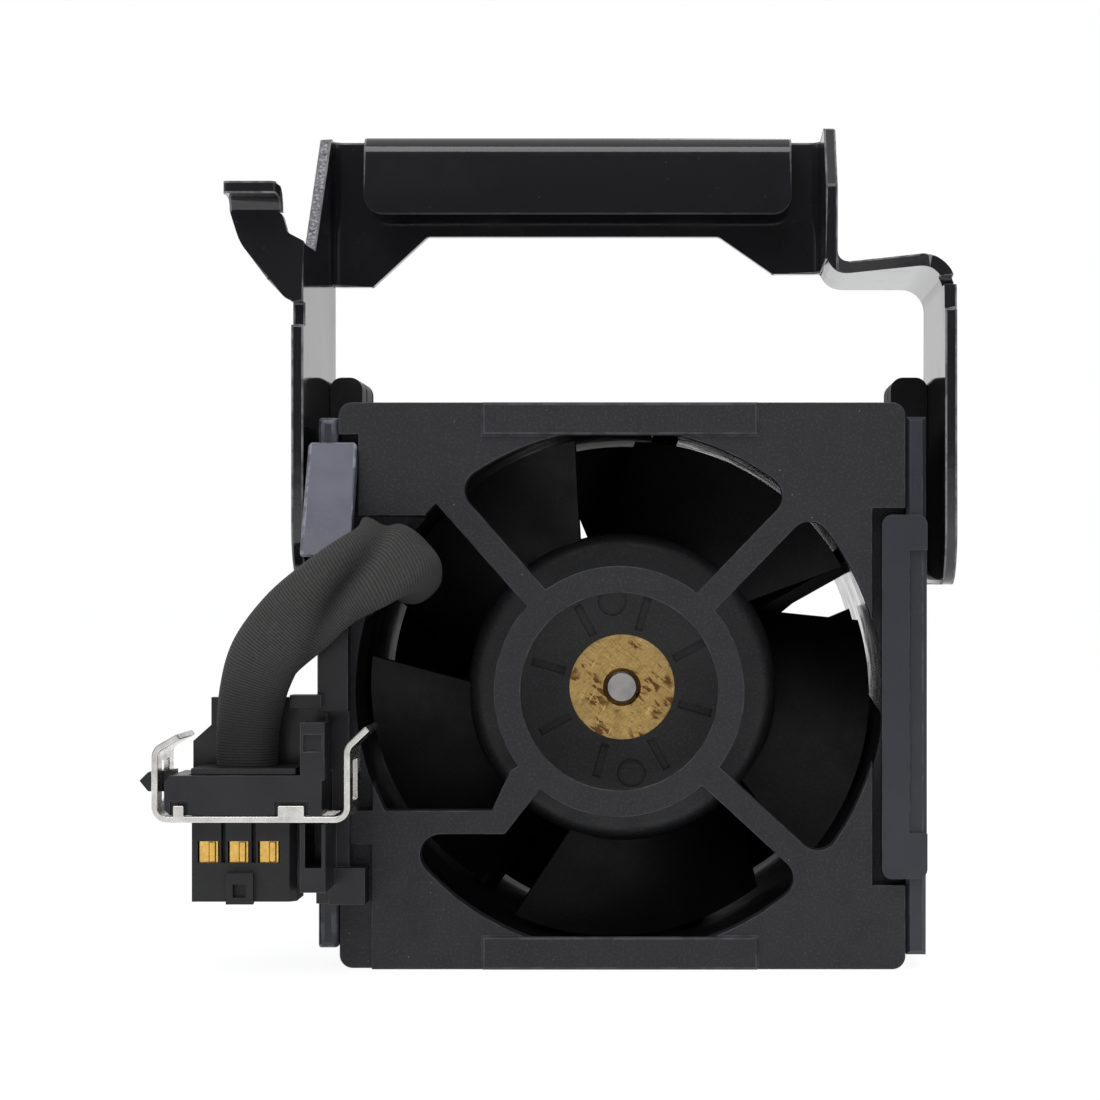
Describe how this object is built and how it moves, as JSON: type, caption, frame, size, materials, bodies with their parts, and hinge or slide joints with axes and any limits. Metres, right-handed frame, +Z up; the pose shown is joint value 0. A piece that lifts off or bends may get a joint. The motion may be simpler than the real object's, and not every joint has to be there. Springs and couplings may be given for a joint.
{
  "type": "server fan module",
  "caption": "Hot-swap server fan module: two counter-rotating axial fans in a folded steel handle, with guide rails, a floating spring-held plug and a sleeved lead.",
  "frame": {"origin": "middle of the inlet face's lower edge, on the base that the module stands on", "axes": "+X to the right as seen from the inlet, +Y into the fans with the air, +Z up to the handle"},
  "size_m": [0.0851, 0.0675, 0.0915],
  "materials": {
    "board_laminate": "solder mask",
    "bush_brass": "worn, scratched",
    "clip_nylon": "nylon",
    "coil_enamel": "enamelled copper wire",
    "connector_plastic": "satin",
    "contact_gold": "gold flash",
    "core_steel": "laminated",
    "frame_plastic": "fine satin speckle",
    "handle_steel": "gloss black coating",
    "impeller_plastic": "satin moulded black",
    "magnet_ferrite": "bonded magnet",
    "mount_rubber": "matte",
    "rail_plastic": "smooth blue-black",
    "screw_black": "black oxide",
    "screw_steel": "zinc",
    "shaft_steel": "turned",
    "sleeve_fabric": "ribbed tape",
    "spring_steel": "bright",
    "wire_insulation": "satin",
    "yoke_steel": "pressed"
  },
  "bodies": {
    "fan_frame": {"front_guard": "frame_plastic", "front_housing": "frame_plastic", "rear_housing": "frame_plastic", "joining_screws": "screw_steel", "handle_bracket": "handle_steel", "mount_screws": "screw_black", "left_rubber_mount": "mount_rubber", "right_rubber_mount": "mount_rubber", "left_rail": "rail_plastic", "right_rail": "rail_plastic", "cable_hood": "rail_plastic", "connector_carrier": "rail_plastic", "spring_clip": "spring_steel", "cable_sleeve": "sleeve_fabric", "lead_wires": "wire_insulation", "front_motor_base": "frame_plastic", "front_bearing_tube": "bush_brass", "front_bearing_outer_rings": "shaft_steel", "front_stator_core": "core_steel", "front_stator_coils": "coil_enamel", "front_circuit_board": "board_laminate", "rear_motor_base": "frame_plastic", "rear_bearing_tube": "bush_brass", "rear_bearing_outer_rings": "shaft_steel", "rear_stator_core": "core_steel", "rear_stator_coils": "coil_enamel", "rear_circuit_board": "board_laminate"},
    "front_rotor": {"front_impeller": "impeller_plastic", "front_hub_bush": "bush_brass", "front_shaft": "shaft_steel", "front_shaft_retainer": "clip_nylon", "front_rotor_yoke": "yoke_steel", "front_magnet_ring": "magnet_ferrite", "front_bearing_inner_rings": "shaft_steel"},
    "rear_rotor": {"rear_impeller": "impeller_plastic", "rear_hub_bush": "bush_brass", "rear_shaft": "shaft_steel", "rear_shaft_retainer": "clip_nylon", "rear_rotor_yoke": "yoke_steel", "rear_magnet_ring": "magnet_ferrite", "rear_bearing_inner_rings": "shaft_steel"},
    "plug": {"connector_housing": "connector_plastic", "connector_contacts": "contact_gold"}
  },
  "joints": [
    {"name": "front_impeller_spin", "type": "hinge", "parent": "fan_frame", "child": "front_rotor", "pos_m": [-0.0003, 0.0125, 0.0294], "axis": [0, 1, 0], "continuous": true},
    {"name": "rear_impeller_spin", "type": "hinge", "parent": "fan_frame", "child": "rear_rotor", "pos_m": [-0.0003, 0.0435, 0.0294], "axis": [0, 1, 0], "continuous": true},
    {"name": "plug_float", "type": "slide", "parent": "fan_frame", "child": "plug", "axis": [1, 0, 0], "range_m": [-0.0003, 0.0003]}
  ]
}
